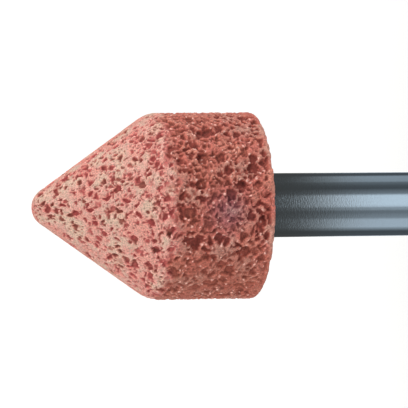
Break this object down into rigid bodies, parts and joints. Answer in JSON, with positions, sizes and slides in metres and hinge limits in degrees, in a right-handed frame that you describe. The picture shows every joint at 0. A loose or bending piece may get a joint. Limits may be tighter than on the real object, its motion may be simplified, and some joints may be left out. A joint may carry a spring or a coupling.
{
  "type": "mounted point",
  "caption": "Grinding point with a red open-pored abrasive head, a cylinder with a blunt cone and rounded nose, cemented on a plain round steel shank.",
  "frame": {"origin": "centre of the flat end face of the shank, on which the point stands", "axes": "+Z along the common axis of shank and head, from the end of the shank to the nose; +X and +Y are free, because the part is turned about Z"},
  "size_m": [0.0176, 0.0174, 0.061],
  "materials": {
    "abrasive": "open-pored, matt, vitrified grain",
    "ground_steel": "ground bright, fine marks round the rod",
    "cement": "matt, set cement"
  },
  "bodies": {
    "root": {"abrasive_head": "abrasive", "spindle": "ground_steel", "cement": "cement"}
  },
  "joints": []
}
